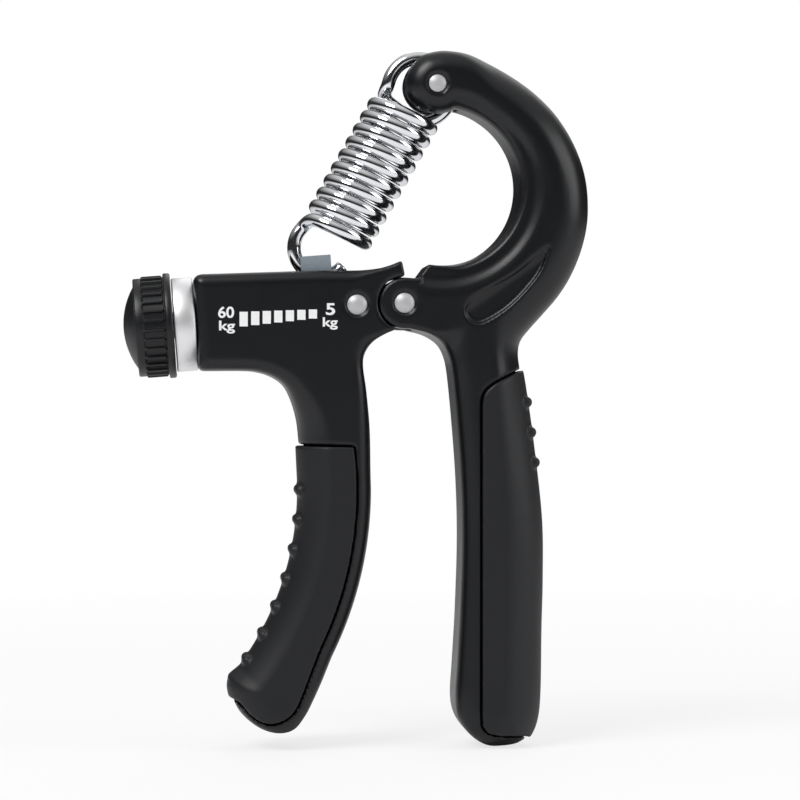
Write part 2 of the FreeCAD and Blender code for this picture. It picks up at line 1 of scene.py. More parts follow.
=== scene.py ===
"""Hand grip strengthener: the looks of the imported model, in metres, in the model's own frame.

Sizes are written in millimetres, as a maker gives them, and MM turns them into metres.
"""
import json
import math
import bpy
import numpy as np
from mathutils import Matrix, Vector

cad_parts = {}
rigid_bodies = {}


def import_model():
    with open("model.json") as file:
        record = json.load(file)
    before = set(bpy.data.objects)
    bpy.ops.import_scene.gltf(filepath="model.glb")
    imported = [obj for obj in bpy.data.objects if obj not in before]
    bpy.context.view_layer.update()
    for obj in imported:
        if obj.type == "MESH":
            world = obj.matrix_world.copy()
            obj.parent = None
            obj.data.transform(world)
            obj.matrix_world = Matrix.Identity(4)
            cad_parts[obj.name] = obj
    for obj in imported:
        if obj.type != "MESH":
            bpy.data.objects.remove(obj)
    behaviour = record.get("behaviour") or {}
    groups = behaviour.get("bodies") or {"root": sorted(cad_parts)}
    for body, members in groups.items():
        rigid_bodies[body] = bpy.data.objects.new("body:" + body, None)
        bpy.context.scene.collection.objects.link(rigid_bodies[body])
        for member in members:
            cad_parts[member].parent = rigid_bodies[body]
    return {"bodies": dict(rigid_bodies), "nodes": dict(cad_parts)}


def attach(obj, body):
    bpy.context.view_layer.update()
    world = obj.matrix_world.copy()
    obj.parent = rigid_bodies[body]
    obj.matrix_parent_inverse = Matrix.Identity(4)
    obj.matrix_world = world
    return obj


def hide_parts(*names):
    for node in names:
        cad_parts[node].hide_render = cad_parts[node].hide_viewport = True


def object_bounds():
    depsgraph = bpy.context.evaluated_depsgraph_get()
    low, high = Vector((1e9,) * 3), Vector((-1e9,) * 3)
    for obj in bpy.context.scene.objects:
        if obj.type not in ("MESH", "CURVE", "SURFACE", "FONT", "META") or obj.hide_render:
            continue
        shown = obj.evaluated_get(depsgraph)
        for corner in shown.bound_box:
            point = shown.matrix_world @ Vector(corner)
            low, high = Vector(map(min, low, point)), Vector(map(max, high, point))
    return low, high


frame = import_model()
cad_low, cad_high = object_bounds()
MM = 0.001


# The camera looks level at the gripper from a little to the left, 700 mm away.
VIEW_DISTANCE = 700 * MM
VIEW_TURN = math.radians(4.2)
VIEW_MIDDLE = (-23.0 * MM, 36.8 * MM)
LENS, SENSOR_WIDTH = 136.96, 36
camera_data = bpy.data.cameras.new("camera")
camera_data.sensor_width = SENSOR_WIDTH
camera_data.lens = LENS
camera = bpy.data.objects.new("camera", camera_data)
bpy.context.collection.objects.link(camera)
camera.location = (
    VIEW_MIDDLE[0] - VIEW_DISTANCE * math.sin(VIEW_TURN),
    -VIEW_DISTANCE * math.cos(VIEW_TURN),
    VIEW_MIDDLE[1],
)
camera.rotation_euler = (math.pi / 2, 0, -VIEW_TURN)
bpy.context.scene.camera = camera
bpy.context.scene.view_settings.view_transform = "Standard"


# The floor is a wide white sheet that the two handles stand on. The room is bright overhead and dim at
# the horizon, so that the black plastic stays black, and what the camera sees behind the part is white.
# Three soft lamps light the part from the front left, from the right and from behind.
FLOOR_SPAN = 6000 * MM
FLOOR_COLOUR = (0.86, 0.86, 0.87, 1)
FLOOR_ROUGHNESS = 0.7
FLOOR_GLOW = 0.75
GLOW_NEAR, GLOW_FAR = 120 * MM, 600 * MM
ROOM_HEIGHTS, ROOM_STRENGTHS = (0.3, 0.95), (0.03, 0.75)
LAMP_AIM = (-20, 0, 50)
LAMPS = (
    ("lamp_key", (-550, -550, 800), 500, 8),
    ("lamp_right", (900, -300, 400), 600, 3.5),
    ("lamp_back", (250, 800, 700), 800, 2),
)


def map_range(tree, value, start, end):
    """A value carried from one range to another, held at both ends."""
    node = tree.nodes.new("ShaderNodeMapRange")
    for name, number in zip(("From Min", "From Max", "To Min", "To Max"), (*start, *end)):
        node.inputs[name].default_value = number
    tree.links.new(value, node.inputs["Value"])
    return node.outputs[0]


def white_to_camera(tree, shader, white, share=None):
    """Puts plain white in front of a shader for what the camera sees directly, by a share where one
    is linked."""
    path = tree.nodes.new("ShaderNodeLightPath")
    mix = tree.nodes.new("ShaderNodeMixShader")
    white.inputs["Color"].default_value = (1, 1, 1, 1)
    white.inputs["Strength"].default_value = 1.0
    amount = path.outputs["Is Camera Ray"]
    if share is not None:
        product = tree.nodes.new("ShaderNodeMath")
        product.operation = "MULTIPLY"
        tree.links.new(amount, product.inputs[0])
        tree.links.new(share, product.inputs[1])
        amount = product.outputs[0]
    tree.links.new(amount, mix.inputs["Fac"])
    tree.links.new(shader.outputs[0], mix.inputs[1])
    tree.links.new(white.outputs[0], mix.inputs[2])
    return mix


def soft_lamp(name, place, size, watts):
    """A square area lamp at a place in millimetres, turned towards the part."""
    data = bpy.data.lights.new(name, "AREA")
    data.shape = "SQUARE"
    data.size = size * MM
    data.energy = watts
    lamp = bpy.data.objects.new(name, data)
    bpy.context.collection.objects.link(lamp)
    lamp.location = np.array(place) * MM
    away = np.array(place) - np.array(LAMP_AIM)
    level = math.hypot(away[0], away[1])
    lamp.rotation_euler = (math.atan2(level, away[2]), 0, math.atan2(away[1], away[0]) + math.pi / 2)


half_span = FLOOR_SPAN / 2
floor_corners = [
    (right * half_span, back * half_span, cad_low[2])
    for right, back in ((-1, -1), (1, -1), (1, 1), (-1, 1))
]
floor_mesh = bpy.data.meshes.new("floor")
floor_mesh.from_pydata(floor_corners, [], [(0, 1, 2, 3)])
floor = bpy.data.objects.new("floor", floor_mesh)
bpy.context.collection.objects.link(floor)
floor_paint = bpy.data.materials.new("floor_paint")
floor_paint.use_nodes = True
floor_tree = floor_paint.node_tree
floor_shader = floor_tree.nodes["Principled BSDF"]
floor_shader.inputs["Base Color"].default_value = FLOOR_COLOUR
floor_shader.inputs["Roughness"].default_value = FLOOR_ROUGHNESS
floor_place = floor_tree.nodes.new("ShaderNodeTexCoord")
floor_reach = floor_tree.nodes.new("ShaderNodeVectorMath")
floor_reach.operation = "LENGTH"
floor_tree.links.new(floor_place.outputs["Object"], floor_reach.inputs[0])
floor_glow = map_range(floor_tree, floor_reach.outputs["Value"], (GLOW_NEAR, GLOW_FAR), (FLOOR_GLOW, 1.0))
floor_white = floor_tree.nodes.new("ShaderNodeEmission")
floor_mix = white_to_camera(floor_tree, floor_shader, floor_white, floor_glow)
floor_tree.links.new(floor_mix.outputs[0], floor_tree.nodes["Material Output"].inputs["Surface"])
floor_mesh.materials.append(floor_paint)

world = bpy.data.worlds.new("pale_room")
bpy.context.scene.world = world
world.use_nodes = True
room_tree = world.node_tree
room = room_tree.nodes["Background"]
room.inputs["Color"].default_value = (1, 1, 1, 1)
skyward = room_tree.nodes.new("ShaderNodeTexCoord")
direction = room_tree.nodes.new("ShaderNodeSeparateXYZ")
room_tree.links.new(skyward.outputs["Generated"], direction.inputs[0])
brightness = map_range(room_tree, direction.outputs["Z"], ROOM_HEIGHTS, ROOM_STRENGTHS)
room_tree.links.new(brightness, room.inputs["Strength"])
room_mix = white_to_camera(room_tree, room, room_tree.nodes.new("ShaderNodeBackground"))
room_tree.links.new(room_mix.outputs[0], room_tree.nodes["World Output"].inputs["Surface"])

for lamp in LAMPS:
    soft_lamp(*lamp)


# The palm frame is one moulding of satin black plastic: a curved arm beside the spring, two flat ears
# for the pivot and the core of the palm handle. Its edges are rounded more on the outside, and a step
# runs along the inner edge of the arm.
PIVOT = (-22.7, 58.8)
RING, RING_RADIUS = (-14.3, 85.6), 18.2
TIP_PIN = (-15.0, 108.9)
ROOT_HEIGHT = 60
HALF_DEPTH, TIP_HALF_DEPTH = 10.8, 8.6
TAPER_START, TAPER_END = -20, 100
EAR_RADIUS = 5.8
PIN_RECESS_RADIUS, PIN_RECESS_DEPTH = 2.62, 0.5
EDGE_ROUND, ARM_ROUND, PALM_ROUND, TIP_ROUND, EAR_ROUND = 4.2, 4.2, 6.0, 4.8, 0.7
PALM_BLEND, TIP_BLEND, EAR_BLEND = (44, 58), (8, 14), (9, 16)
ARM_OUTSIDE, PALM_OUTSIDE = (1.5, 11), (-9, 4)
PALM_SIDE = ((5.2, 40.0), (6.9, 28.0), (8.9, 10.0))
CELL = 0.5


def smooth_step(low, high, value):
    """0 below low, 1 above high and the cubic 3t^2 - 2t^3 between them."""
    t = np.clip((value - low) / (high - low), 0, 1)
    return t * t * (3 - 2 * t)


def round_run(centre, radius, start, end, steps):
    """Points of a circle's arc between two angles in degrees."""
    turn = np.radians(np.linspace(start, end, steps))
    return np.stack([centre[0] + radius * np.cos(turn), centre[1] + radius * np.sin(turn)], 1)


def smooth_run(points, per_side=8):
    """A Catmull-Rom curve through points: each side is the cubic that leaves and reaches its ends
    along half the chord between their neighbours."""
    p = np.array(points, float)
    p = np.vstack([2 * p[0] - p[1], p, 2 * p[-1] - p[-2]])
    t = np.linspace(0, 1, per_side, endpoint=False)[:, None]
    before, start, end, after = (p[i:len(p) - 3 + i, None] for i in range(4))
    run = start + 0.5 * t * (end - before) + t ** 2 * (before - 2.5 * start + 2 * end - 0.5 * after)
    run = run + t ** 3 * (1.5 * (start - end) + 0.5 * (after - before))
    return np.vstack([run.reshape(-1, 2), p[-2]])


def grid(low, high):
    """Flat X and Z arrays and a Y array that together make a grid of CELL-sized cubes."""
    x, y, z = (np.arange(a, b + CELL, CELL) for a, b in zip(low, high))
    return x[:, None, None], y[None, :, None], z[None, None, :]


def outline_distance(here, outline):
    """Signed distance to a closed outline, negative inside: the least distance to a side, with its
    sign from how many sides a ray along +X crosses."""
    x, z = np.broadcast_arrays(here[0][:, 0], here[2][:, 0])
    places = np.stack([x.ravel(), z.ravel()], 1)[:, None].astype(np.float32)
    start = outline[None].astype(np.float32)
    end = np.roll(outline, -1, 0)[None].astype(np.float32)
    side = end - start
    away = places - start
    along = np.clip((away * side).sum(2) / np.maximum((side ** 2).sum(2), 1e-9), 0, 1)
    least = np.sqrt(((away - along[..., None] * side) ** 2).sum(2).min(1))
    spans = (start[..., 1] > places[..., 1]) != (end[..., 1] > places[..., 1])
    rise = np.where(spans, side[..., 1], 1)
    crossing = start[..., 0] + side[..., 0] * (places[..., 1] - start[..., 1]) / rise
    inside = (spans & (places[..., 0] < crossing)).sum(1) % 2 == 1
    return np.where(inside, -least, least).reshape(x.shape)[:, None]


def reach_from(here, centre):
    """How far each place lies from a line along Y through a centre."""
    return np.hypot(here[0] - centre[0], here[2] - centre[1])


def mix(a, b, share):
    """a where the share is 0, b where it is 1, and in proportion between them."""
    return a * (1 - share) + b * share


def overlap(*shapes):
    """What lies inside all the shapes at once: the greatest of their distances."""
    inside = shapes[0]
    for shape in shapes[1:]:
        inside = np.maximum(inside, shape)
    return inside


def slab(flat, y, half_depth, rounding):
    """An outline given depth: the distance to a rounded corner between its wall and its cheeks."""
    out = flat + rounding
    deep = np.abs(y) - half_depth + rounding
    corner = np.sqrt(np.maximum(out, 0) ** 2 + np.maximum(deep, 0) ** 2)
    return corner + np.minimum(np.maximum(out, deep), 0) - rounding


def join(a, b, blend=0.0):
    """The nearer of two distances, eased into each other over a blend width."""
    if not blend:
        return np.minimum(a, b)
    share = np.maximum(blend - np.abs(a - b), 0) / blend
    return np.minimum(a, b) - share ** 2 * blend / 4


def cut(a, b, blend=0.0):
    """The first shape without the second."""
    return -join(-a, b, blend)


def bar(here, centre, radius, half_length):
    """A round bar along Y, as a distance."""
    return overlap(reach_from(here, centre) - radius, np.abs(here[1]) - half_length)


def pin_seat(here, centre, cheek):
    """A shallow round recess in both cheeks, as a distance."""
    return overlap(reach_from(here, centre) - PIN_RECESS_RADIUS, cheek - PIN_RECESS_DEPTH - np.abs(here[1]))


def mesh_of(name, places, *faces):
    """A smooth-shaded object from an array of places and arrays of faces, each with its own side count."""
    sides = np.concatenate([np.full(len(part), part.shape[1]) for part in faces])
    corners = np.concatenate([part.ravel() for part in faces])
    mesh = bpy.data.meshes.new(name)
    mesh.vertices.add(len(places))
    mesh.vertices.foreach_set("co", np.ascontiguousarray(places, np.float32).ravel())
    mesh.loops.add(len(corners))
    mesh.loops.foreach_set("vertex_index", corners.astype(np.int32))
    mesh.polygons.add(len(sides))
    mesh.polygons.foreach_set("loop_start", (np.cumsum(sides) - sides).astype(np.int32))
    mesh.polygons.foreach_set("use_smooth", np.ones(len(sides), bool))
    mesh.update(calc_edges=True)
    mesh.validate()
    piece = bpy.data.objects.new(name, mesh)
    bpy.context.collection.objects.link(piece)
    return piece


def slide_to_zero(points, values):
    """Points moved along the values' slope by value over slope squared, both read between grid corners,
    and by half a cell at most."""
    base = np.clip(points.astype(int), 0, np.array(values.shape) - 2)
    part = points - base
    value = 0
    slope = np.zeros_like(points)
    for corner in np.ndindex(2, 2, 2):
        found = values[tuple((base + corner).T)]
        weight = [part[:, k] if corner[k] else 1 - part[:, k] for k in range(3)]
        value = value + found * weight[0] * weight[1] * weight[2]
        for k in range(3):
            others = weight[(k + 1) % 3] * weight[(k + 2) % 3]
            slope[:, k] += found * others * (1 if corner[k] else -1)
    size = np.maximum((slope ** 2).sum(1), 0.05 * CELL ** 2)
    move = slope * (value / size)[:, None]
    return points - np.clip(move, -0.5, 0.5)


def skin(name, values, low):
    """A closed mesh where the values are zero: one point in each grid cell that the zero crosses, at
    the mean of its crossings and slid onto the zero along the slope, and a face round each crossed edge."""
    count = np.zeros(np.array(values.shape) - 1, np.float32)
    total = np.zeros((3, *count.shape), np.float32)
    cell = np.indices(count.shape, np.float32)
    crossings = []
    for axis in range(3):
        first = np.take(values, range(values.shape[axis] - 1), axis)
        second = np.take(values, range(1, values.shape[axis]), axis)
        crossed = (first < 0) != (second < 0)
        share = np.where(crossed, first / np.where(crossed, first - second, 1), 0)
        crossings.append((crossed, first < 0))
        others = [a for a in range(3) if a != axis]
        for step_a in (0, 1):
            for step_b in (0, 1):
                pick = [slice(None)] * 3
                pick[others[0]] = slice(step_a, step_a + count.shape[others[0]])
                pick[others[1]] = slice(step_b, step_b + count.shape[others[1]])
                hit = crossed[tuple(pick)]
                count += hit
                total[axis] += hit * (cell[axis] + share[tuple(pick)])
                total[others[0]] += hit * (cell[others[0]] + step_a)
                total[others[1]] += hit * (cell[others[1]] + step_b)
    used = count > 0
    number = np.full(count.shape, -1)
    number[used] = np.arange(used.sum())
    points = (total[:, used] / count[used]).T.astype(float)
    for _ in range(3):
        points = slide_to_zero(points, values)
    faces = []
    for axis, (crossed, leaving) in enumerate(crossings):
        a, b = (axis + 1) % 3, (axis + 2) % 3
        inner = [slice(None)] * 3
        inner[a] = slice(1, values.shape[a] - 1)
        inner[b] = slice(1, values.shape[b] - 1)
        where = np.argwhere(crossed[tuple(inner)])
        outward = leaving[tuple(inner)][tuple(where.T)]
        where[:, [a, b]] += 1
        ring = []
        for back_a, back_b in ((1, 1), (0, 1), (0, 0), (1, 0)):
            at = where.copy()
            at[:, a] -= back_a
            at[:, b] -= back_b
            ring.append(number[tuple(at.T)])
        ring = np.stack(ring, 1)
        faces.append(np.where(outward[:, None], ring, ring[:, ::-1]))
    faces = np.vstack(faces)
    return mesh_of(name, (points * CELL + np.array(low)) * MM, faces)


frame_outline = np.vstack([
    round_run(RING, RING_RADIUS, -99, 80, 60),
    smooth_run([
        (-11.5, 103.0), (-14.5, 102.4), (-18.4, 103.2), (-21.3, 105.8), (-22.2, 109.3), (-21.0, 112.9),
        (-18.2, 115.6), (-15.0, 116.6), (-12.1, 116.7), (-7.7, 116.1), (-3.3, 114.4), (1.2, 112.0),
        (5.6, 109.1), (9.1, 106.2), (12.6, 102.5), (15.7, 97.9), (18.1, 92.8), (19.5, 88.0),
        (20.1, 83.1), (20.0, 77.8), (19.1, 73.0), (17.6, 68.5), (15.5, 64.1), (12.9, 60.2),
        (9.8, 56.6), (6.6, 53.0), (4.6, 50.3), (4.1, 47.4), (4.6, 43.5),
    ]),
    smooth_run([
        *PALM_SIDE, (9.1, -4.0), (8.8, -16.0), (8.6, -29.7), (8.0, -36.2), (6.4, -40.2), (4.0, -42.1),
        (0.6, -42.6), (-3.4, -42.2), (-7.2, -39.8), (-9.9, -36.2), (-10.9, -31.6), (-10.5, -24.0),
        (-9.8, -12.0), (-9.3, 4.0), (-9.6, 18.0), (-10.6, 32.0), (-11.7, 43.0), (-12.6, 47.0),
        (-14.2, 49.9), (-17.2, 51.9), (-21.5, 53.0),
    ]),
    round_run(PIVOT, EAR_RADIUS, -95, -272, 30),
    [(-19.5, 64.4)],
])
palm_low, palm_high = (-31.0, -12.5, -45.0), (23.0, 12.5, 119.5)
palm_grid = grid(palm_low, palm_high)
x, y, z = palm_grid
ring_out = reach_from(palm_grid, RING) - RING_RADIUS
ring_angle = np.degrees(np.arctan2(z - RING[1], x - RING[0]))
on_palm = 1 - smooth_step(*PALM_BLEND, z)
arm_share = smooth_step(*ARM_OUTSIDE, ring_out)
palm_share = smooth_step(*PALM_OUTSIDE, x)
near_tip = 1 - smooth_step(*TIP_BLEND, reach_from(palm_grid, TIP_PIN))
near_ears = 1 - smooth_step(*EAR_BLEND, reach_from(palm_grid, PIVOT))
rounding = EDGE_ROUND + ARM_ROUND * arm_share * (1 - on_palm) + PALM_ROUND * palm_share * on_palm
rounding = mix(mix(rounding, TIP_ROUND, near_tip), EAR_ROUND, near_ears)
taper = smooth_step(TAPER_START, TAPER_END, ring_angle) * (z > ROOT_HEIGHT)
half_depth = HALF_DEPTH - (HALF_DEPTH - TIP_HALF_DEPTH) * taper
palm_body = slab(outline_distance(palm_grid, frame_outline), y, half_depth, rounding)

# The step along the inner edge of the arm, from the notch by the tip round to the lip: a lowered band
# that widens away from the notch and eases back up to the cheek.
STEP_NARROW, STEP_WIDE, STEP_DEPTH = 3.3, 6.2, 1.2
STEP_START, STEP_END, STEP_BLEND = -102, 77, 0.5
STEP_NARROWING, STEP_FLAT = (0, 60), 0.45
step_reach = STEP_NARROW + (STEP_WIDE - STEP_NARROW) * (1 - smooth_step(*STEP_NARROWING, ring_angle))
step_ease = smooth_step(STEP_FLAT * step_reach, step_reach, ring_out)
step_cheek = half_depth - STEP_DEPTH * (1 - step_ease)
step = overlap(ring_out - step_reach, step_cheek - np.abs(y), ring_angle - STEP_END)
step = np.where((ring_angle < STEP_START) | (z < ROOT_HEIGHT), np.inf, step)
values = cut(palm_body, step, STEP_BLEND)

# The dish in the arm's root, one on each cheek: a sharp edge on its lower side, from which the floor
# rises to nothing towards the ring.
DISH_DEPTH, DISH_BLEND, DISH_RISE = 1.2, 0.35, (-4.0, -1.0)
DISH_MIDDLE, DISH_DOWN = (3.4, 63.5), (0.565, -0.826)
dish_outline = smooth_run([
    (10.2, 71.7), (8.2, 66.2), (4.5, 61.4), (0.1, 57.3), (-5.1, 54.4), (-7.6, 54.9), (-8.9, 57.2),
    (-7.3, 59.9), (-3.4, 62.3), (2.3, 65.5), (7.1, 69.5), (10.2, 71.7),
])
dish_down = (x - DISH_MIDDLE[0]) * DISH_DOWN[0] + (z - DISH_MIDDLE[1]) * DISH_DOWN[1]
dish_floor = half_depth - DISH_DEPTH * smooth_step(*DISH_RISE, dish_down)
dish = overlap(outline_distance(palm_grid, dish_outline), dish_floor - np.abs(y))
values = cut(values, dish, DISH_BLEND)

# The room for the lever's tongue between the ears, the slot for the spring's top loop, and the seats
# of the pins.
CLEVIS_RADIUS, CLEVIS_HALF = 6.3, 4.6
LOOP_CENTRE, LOOP_ROOM_RADIUS, LOOP_ROOM_HALF = (-18.4, 108.1), 9.6, 2.1
TIP_SEAT_CHEEK = TIP_HALF_DEPTH + 0.1
values = cut(values, bar(palm_grid, PIVOT, CLEVIS_RADIUS, CLEVIS_HALF))
values = cut(values, bar(palm_grid, LOOP_CENTRE, LOOP_ROOM_RADIUS, LOOP_ROOM_HALF))
values = cut(values, pin_seat(palm_grid, PIVOT, HALF_DEPTH))
values = cut(values, pin_seat(palm_grid, TIP_PIN, TIP_SEAT_CHEEK))

# The shelf in the palm handle's core that the rubber cover sits on, with a thin groove round it.
COVER_PROUD, COVER_SINK, COVER_GROOVE = 0.8, 1.2, 0.35
palm_cover_outline = np.vstack([
    smooth_run([(-5.0, 34.0), (-4.9, 36.6), (-4.0, 38.9), (-1.5, 40.8), (1.4, 42.2), (3.8, 43.3)]),
    smooth_run([(6.6, 44.0), (14.0, 44.0), (14.0, -43.0), (4.8, -40.0), (-0.9, -39.6), (-3.6, -38.9),
                (-4.8, -37.4), (-5.0, -35.0)], 1),
])
palm_region = outline_distance(palm_grid, palm_cover_outline)
values = cut(values, overlap(palm_region - COVER_GROOVE, -COVER_SINK - palm_body))
palm_frame = skin("palm_frame", values.astype(np.float32), palm_low)
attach(palm_frame, "frame")
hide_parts("frame")


GRAIN_SCALE, GRAIN_RELIEF = 2500.0, 0.05 * MM
DRIFT_SCALE, DRIFT_DETAIL = 90.0, 3.0
SHEEN = 0.38


def noise_field(tree, scale, detail=2.0):
    """A noise texture on the object's own coordinates."""
    place = tree.nodes.new("ShaderNodeTexCoord")
    noise = tree.nodes.new("ShaderNodeTexNoise")
    noise.inputs["Scale"].default_value = scale
    noise.inputs["Detail"].default_value = detail
    tree.links.new(place.outputs["Object"], noise.inputs["Vector"])
    return noise


def make_grain():
    """A node group: fine moulded grain as a normal, and a slow drift of the roughness about a mean."""
    group = bpy.data.node_groups.new("moulded_grain", "ShaderNodeTree")
    for name, value in (("Scale", GRAIN_SCALE), ("Depth", 0.1), ("Roughness", 0.4), ("Drift", 0.08)):
        socket = group.interface.new_socket(name, in_out="INPUT", socket_type="NodeSocketFloat")
        socket.default_value = value
    group.interface.new_socket("Roughness", in_out="OUTPUT", socket_type="NodeSocketFloat")
    group.interface.new_socket("Normal", in_out="OUTPUT", socket_type="NodeSocketVector")
    inlet = group.nodes.new("NodeGroupInput")
    outlet = group.nodes.new("NodeGroupOutput")
    fine = noise_field(group, GRAIN_SCALE)
    group.links.new(inlet.outputs["Scale"], fine.inputs["Scale"])
    bump = group.nodes.new("ShaderNodeBump")
    bump.inputs["Distance"].default_value = GRAIN_RELIEF
    group.links.new(inlet.outputs["Depth"], bump.inputs["Strength"])
    group.links.new(fine.outputs["Fac"], bump.inputs["Height"])
    group.links.new(bump.outputs["Normal"], outlet.inputs["Normal"])
    slow = noise_field(group, DRIFT_SCALE, DRIFT_DETAIL)
    centred = group.nodes.new("ShaderNodeMath")
    centred.operation = "SUBTRACT"
    centred.inputs[1].default_value = 0.5
    group.links.new(slow.outputs["Fac"], centred.inputs[0])
    drift = group.nodes.new("ShaderNodeMath")
    drift.operation = "MULTIPLY_ADD"
    group.links.new(centred.outputs[0], drift.inputs[0])
    group.links.new(inlet.outputs["Drift"], drift.inputs[1])
    group.links.new(inlet.outputs["Roughness"], drift.inputs[2])
    group.links.new(drift.outputs[0], outlet.inputs["Roughness"])
    return group


moulded_grain = make_grain()


def finish(name, colour, roughness, metallic=0.0, grain_scale=GRAIN_SCALE, grain_depth=0.1, drift=0.08):
    """A material of one colour whose roughness and normal come from the moulded grain."""
    paint = bpy.data.materials.new(name)
    paint.use_nodes = True
    tree = paint.node_tree
    shader = tree.nodes["Principled BSDF"]
    shader.inputs["Base Color"].default_value = (*colour, 1)
    shader.inputs["Metallic"].default_value = metallic
    shader.inputs["Specular IOR Level"].default_value = SHEEN
    grain = tree.nodes.new("ShaderNodeGroup")
    grain.node_tree = moulded_grain
    grain.inputs["Scale"].default_value = grain_scale
    grain.inputs["Depth"].default_value = grain_depth
    grain.inputs["Roughness"].default_value = roughness
    grain.inputs["Drift"].default_value = drift
    tree.links.new(grain.outputs["Roughness"], shader.inputs["Roughness"])
    tree.links.new(grain.outputs["Normal"], shader.inputs["Normal"])
    return paint


body_plastic = finish("body_plastic", (0.004, 0.0045, 0.0058), 0.34)
palm_frame.data.materials.append(body_plastic)


# The palm cover is soft black rubber, moulded over the outer side of the palm handle. It stands a little
# proud of the plastic, with three short bars near its top against slipping.
SHELF_GAP = 0.05
BUMP_PITCH, BUMP_RADIUS, BUMP_HALF, BUMP_BLEND = 6.9, 1.25, 5.5, 0.5
PALM_BUMPS, PALM_BUMP_TOP = 3, 36.3


def sheet_over(body, region):
    """A rubber sheet over part of a body, proud of it outside and down to just over its shelf."""
    return overlap(body - COVER_PROUD, -(body + COVER_SINK - SHELF_GAP), region)


def with_bump(values, here, centre):
    """The sheet with one bar along Y, with round ends."""
    past_end = np.maximum(np.abs(here[1]) - BUMP_HALF, 0)
    reach = (here[0] - centre[0]) ** 2 + (here[2] - centre[1]) ** 2 + past_end ** 2
    return join(values, np.sqrt(reach) - BUMP_RADIUS, BUMP_BLEND)


side_x, side_z = np.array(PALM_SIDE[::-1]).T
values = sheet_over(palm_body, palm_region)
for index in range(PALM_BUMPS):
    bump_z = PALM_BUMP_TOP - index * BUMP_PITCH
    values = with_bump(values, palm_grid, (np.interp(bump_z, side_z, side_x), bump_z))
palm_cover = skin("palm_cover", values.astype(np.float32), palm_low)
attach(palm_cover, "frame")
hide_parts("palm_grip")
grip_rubber = finish("grip_rubber", (0.0075, 0.008, 0.0095), 0.5, grain_scale=1800.0, grain_depth=0.25)
palm_cover.data.materials.append(grip_rubber)


# The lever is the second moulding: a box-shaped housing for the adjuster, the pivot's tongue and the
# core of the finger handle. It is the same satin plastic, open on top where the spring's hook travels.
HOUSING_TILT = math.radians(4.3)
AXIS_DROP = 1.0
HOUSING_REACH, HOUSING_ROUND = 47.4, 2.6
HOUSING_END = ((2.2, 10.9), (1.2, 10.7), (0.5, 10.2), (0.1, 9.4), (0, 8.4),
               (0, -10.0), (0.3, -10.6), (0.9, -10.9))
BEND_CENTRE = (-114.4, 16.2)
HANDLE_NEAR, HANDLE_FAR, HANDLE_SIDE = 84.3, 68.6, -30.2
EAR_CLEARANCE = 0.28
TONGUE_RADIUS, TONGUE_HALF = EAR_RADIUS - 0.4, 4.0
NECK_LENGTH, NECK_HALF = 9.0, 4.2
CHANNEL_HALF, CHANNEL_END = 6.5, -7.2
HANDLE_BLEND, HANDLE_OUTSIDE, TONGUE_BLEND = (26, 46), (2, 14), (8, 14)
SLOT_HALF, SLOT_START, SLOT_END = 4.3, -42.9, -10.2


def axis_place(along, above):
    """The X and Z of a place given along and above the adjuster's axis, whose zero is under the pivot."""
    return (
        PIVOT[0] + along * math.cos(HOUSING_TILT) - above * math.sin(HOUSING_TILT),
        PIVOT[1] - AXIS_DROP + along * math.sin(HOUSING_TILT) + above * math.cos(HOUSING_TILT),
    )


BEARING_PIN = axis_place(-10.7, 1.4)
lever_outline = np.vstack([
    smooth_run([(-23.3, 68.5), (-25.6, 67.5), (-28.4, 66.7), (-32.0, 66.3), (-36.0, 66.2), (-42.0, 66.2)]),
    [axis_place(inward - HOUSING_REACH, above) for inward, above in HOUSING_END],
    smooth_run([(-60.0, 43.5), (-56.6, 43.3), (-53.0, 42.3), (-49.9, 40.2), (-48.1, 36.8), (-46.8, 32.0),
                (-46.2, 26.0)]),
    round_run(BEND_CENTRE, HANDLE_FAR, 4, -36.5, 24),
    smooth_run([(-61.7, -26.6), (-61.9, -29.6), (-60.0, -34.0), (-56.0, -37.4), (-51.6, -38.9),
                (-47.8, -38.2), (-45.2, -35.2), (-43.3, -31.6), (-41.3, -27.2)]),
    round_run(BEND_CENTRE, HANDLE_NEAR, -26.5, 0, 24),
    smooth_run([(HANDLE_SIDE, 20.0), (-30.4, 30.0), (-31.2, 38.6), (-32.0, 44.4), (-31.6, 47.4),
                (-29.8, 50.0), (-27.0, 51.8), (-24.4, 52.8), (-22.9, 53.0)]),
    [(-22.6, 58.0), (-22.6, 65.2)],
])
lever_low, lever_high = (-72.0, -12.5, -41.0), (-16.0, 12.5, 72.0)
lever_grid = grid(lever_low, lever_high)
x, y, z = lever_grid
along = (x - PIVOT[0]) * math.cos(HOUSING_TILT) + (z - PIVOT[1] + AXIS_DROP) * math.sin(HOUSING_TILT)
above = (z - PIVOT[1] + AXIS_DROP) * math.cos(HOUSING_TILT) - (x - PIVOT[0]) * math.sin(HOUSING_TILT)
handle_out = HANDLE_NEAR - reach_from(lever_grid, BEND_CENTRE)
on_handle = 1 - smooth_step(*HANDLE_BLEND, z)
handle_share = smooth_step(*HANDLE_OUTSIDE, np.where(z > BEND_CENTRE[1], HANDLE_SIDE - x, handle_out))
near_tongue = 1 - smooth_step(*TONGUE_BLEND, reach_from(lever_grid, PIVOT))
rounding = mix(HOUSING_ROUND, EDGE_ROUND + ARM_ROUND * handle_share, on_handle)
rounding = mix(rounding, EAR_ROUND, near_tongue)
lever_body = slab(outline_distance(lever_grid, lever_outline), y, HALF_DEPTH, rounding)
values = cut(lever_body, reach_from(lever_grid, PIVOT) - (EAR_RADIUS + EAR_CLEARANCE))
tongue = bar(lever_grid, PIVOT, TONGUE_RADIUS, TONGUE_HALF)
